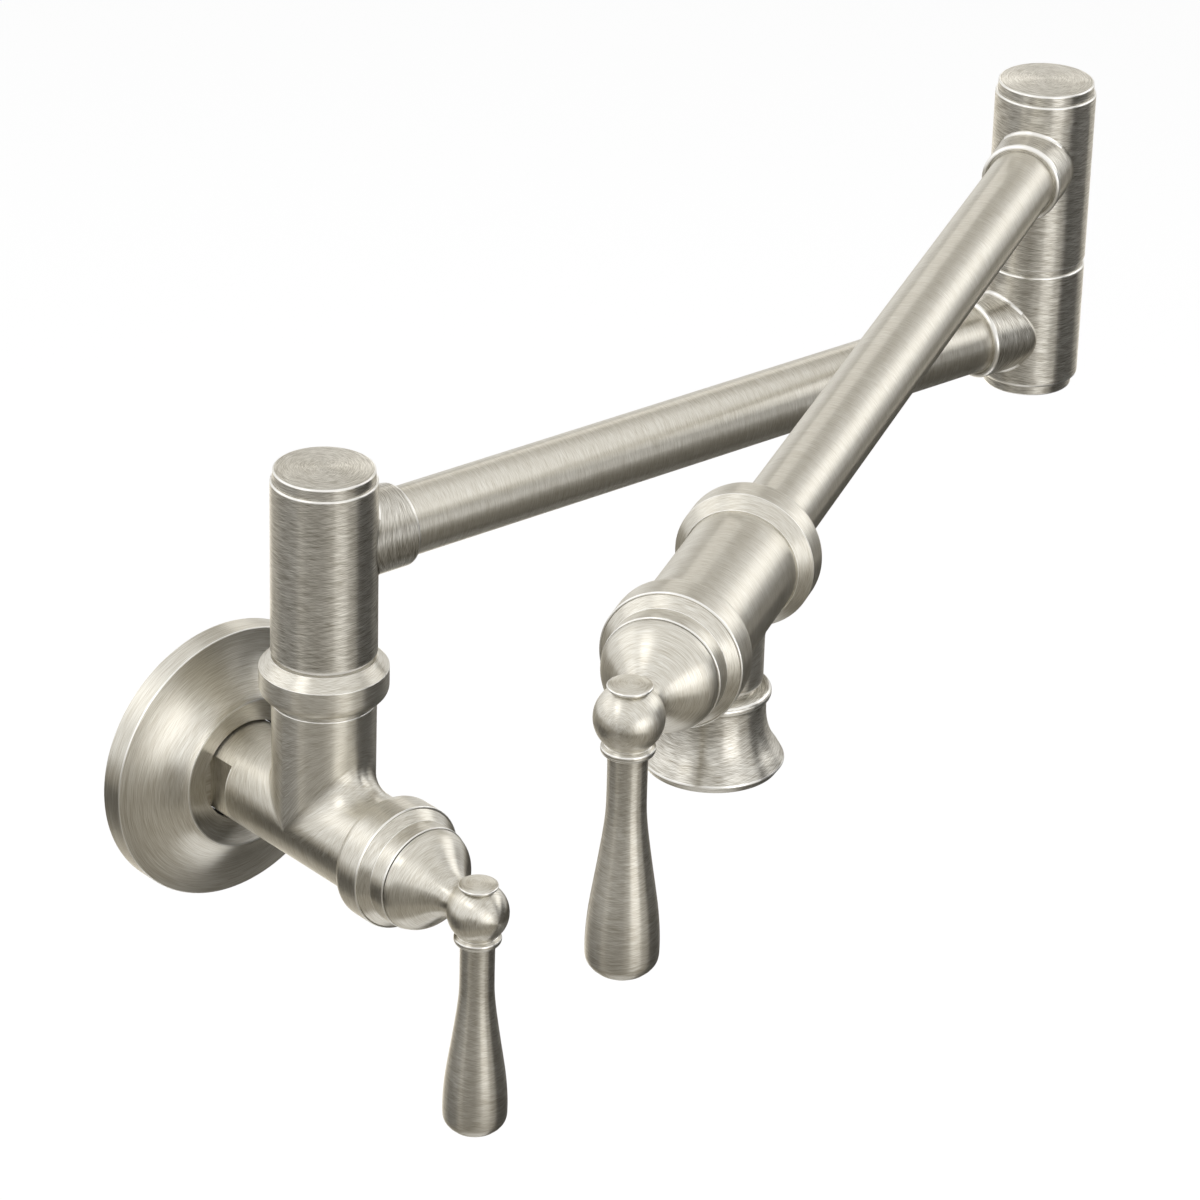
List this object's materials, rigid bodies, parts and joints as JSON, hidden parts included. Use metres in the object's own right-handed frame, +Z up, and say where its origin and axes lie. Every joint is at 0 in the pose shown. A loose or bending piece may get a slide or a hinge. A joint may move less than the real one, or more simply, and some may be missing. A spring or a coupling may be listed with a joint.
{
  "type": "wall mounted pot filler tap",
  "caption": "Wall mounted pot filler: wall valve with lever, two folding swivel arms, and an outlet valve with lever over a flared bell spout, brushed nickel.",
  "frame": {"origin": "centre of the threaded inlet, in the plane of the wall", "axes": "+X along the wall towards the elbow, +Y into the wall along the inlet, +Z up"},
  "size_m": [0.3791, 0.2764, 0.2489],
  "materials": {
    "nickel": "brass plated with warm brushed nickel, fine brush lines round each turned part",
    "brass": "bare turned brass, inside only",
    "steel": "plain steel screws and lock washers",
    "rubber": "black moulded rubber seals",
    "nylon": "natural nylon thrust washer",
    "ceramic": "lapped ceramic discs, inside only"
  },
  "bodies": {
    "wall_body": {"wall_gasket": "rubber", "wall_flange": "nickel", "flange_grip_ring": "rubber", "wall_valve_body": "nickel", "wall_bonnet_nut": "nickel", "wall_cartridge": "brass", "wall_fixed_disc": "ceramic", "wall_seat_seal": "rubber", "swivel_post": "brass", "post_o_rings": "rubber", "swivel_collar": "nickel", "post_thrust_washer": "nylon", "post_lock_washer": "steel", "post_lock_nut": "brass"},
    "wall_handle": {"wall_stem": "brass", "wall_moving_disc": "ceramic", "wall_handle_hub": "nickel", "wall_lever": "nickel", "wall_finial": "nickel", "wall_set_screw": "steel"},
    "arm_1": {"post_sleeve": "nickel", "post_cap": "nickel", "arm_1_tube": "nickel", "elbow_housing": "nickel", "elbow_bottom_cap": "nickel", "elbow_stem": "brass", "elbow_o_rings": "rubber", "elbow_thrust_washer": "nickel", "elbow_lock_washer": "steel", "elbow_lock_nut": "brass"},
    "arm_2": {"elbow_sleeve": "nickel", "elbow_cap": "nickel", "arm_2_tube": "nickel", "outlet_coupling_nut": "nickel", "outlet_valve_body": "nickel", "outlet_bonnet_nut": "nickel", "outlet_cartridge": "brass", "outlet_fixed_disc": "ceramic", "outlet_seat_seal": "rubber", "spout_bell": "nickel", "aerator_washer": "rubber", "aerator": "nickel"},
    "outlet_handle": {"outlet_stem": "brass", "outlet_moving_disc": "ceramic", "outlet_handle_hub": "nickel", "outlet_lever": "nickel", "outlet_finial": "nickel", "outlet_set_screw": "steel"}
  },
  "joints": [
    {"name": "wall_handle_turn", "type": "hinge", "parent": "wall_body", "child": "wall_handle", "pos_m": [0, -0.1243, 0], "axis": [0, -1, 0], "range_deg": [0, 90]},
    {"name": "arm_1_swivel", "type": "hinge", "parent": "wall_body", "child": "arm_1", "pos_m": [0, -0.0515, 0], "axis": [0, 0, 1], "range_deg": [-177.9, 2.1]},
    {"name": "elbow_swivel", "type": "hinge", "parent": "arm_1", "child": "arm_2", "pos_m": [0.28221, -0.06185, 0.1481], "axis": [0, 0, 1], "continuous": true},
    {"name": "outlet_handle_turn", "type": "hinge", "parent": "arm_2", "child": "outlet_handle", "pos_m": [-0.07112, -0.26666, 0.1481], "axis": [-0.8652, -0.5015, 0], "range_deg": [0, 90]}
  ]
}
